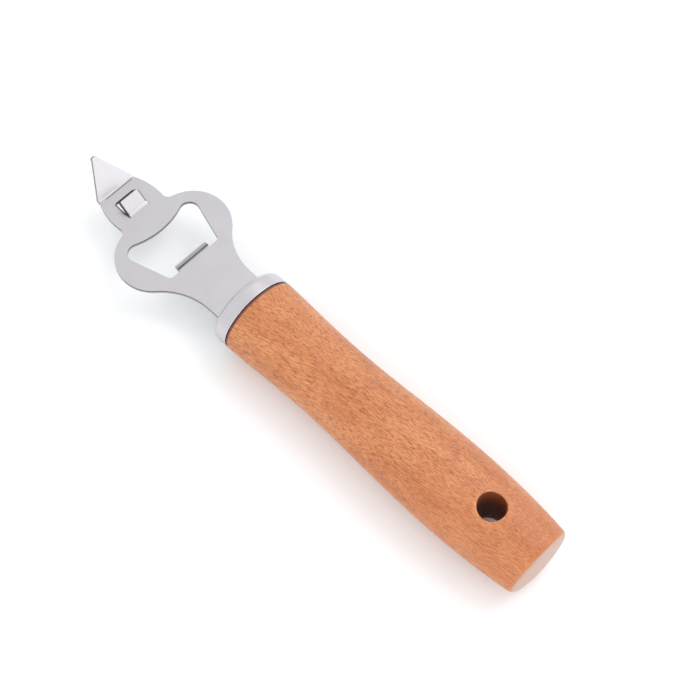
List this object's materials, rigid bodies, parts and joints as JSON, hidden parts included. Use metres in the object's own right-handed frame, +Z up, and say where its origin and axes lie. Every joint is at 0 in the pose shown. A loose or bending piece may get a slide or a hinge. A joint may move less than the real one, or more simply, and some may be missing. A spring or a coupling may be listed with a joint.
{
  "type": "manual can opener",
  "caption": "Stamped steel can piercer with a rim hook and a crown-cap window, set in a ferruled beech handle with a hanging hole.",
  "frame": {"origin": "centre of the tool's outline seen from above, on the surface the handle lies on", "axes": "+X along the tool towards the piercing point, +Z up, on the side the point, hook and cap lip are bent to; +Y to the left when looking along +X"},
  "size_m": [0.201, 0.0434, 0.0237],
  "materials": {
    "stainless_sheet": "satin, fine tumbled grain",
    "stainless_ferrule": "satin",
    "beech": "matt, clear oiled steamed beech with short dark flecks",
    "epoxy": "cured adhesive, hidden"
  },
  "bodies": {
    "root": {"opener_blade": "stainless_sheet", "ferrule": "stainless_ferrule", "handle": "beech", "tang_adhesive": "epoxy"}
  },
  "joints": []
}
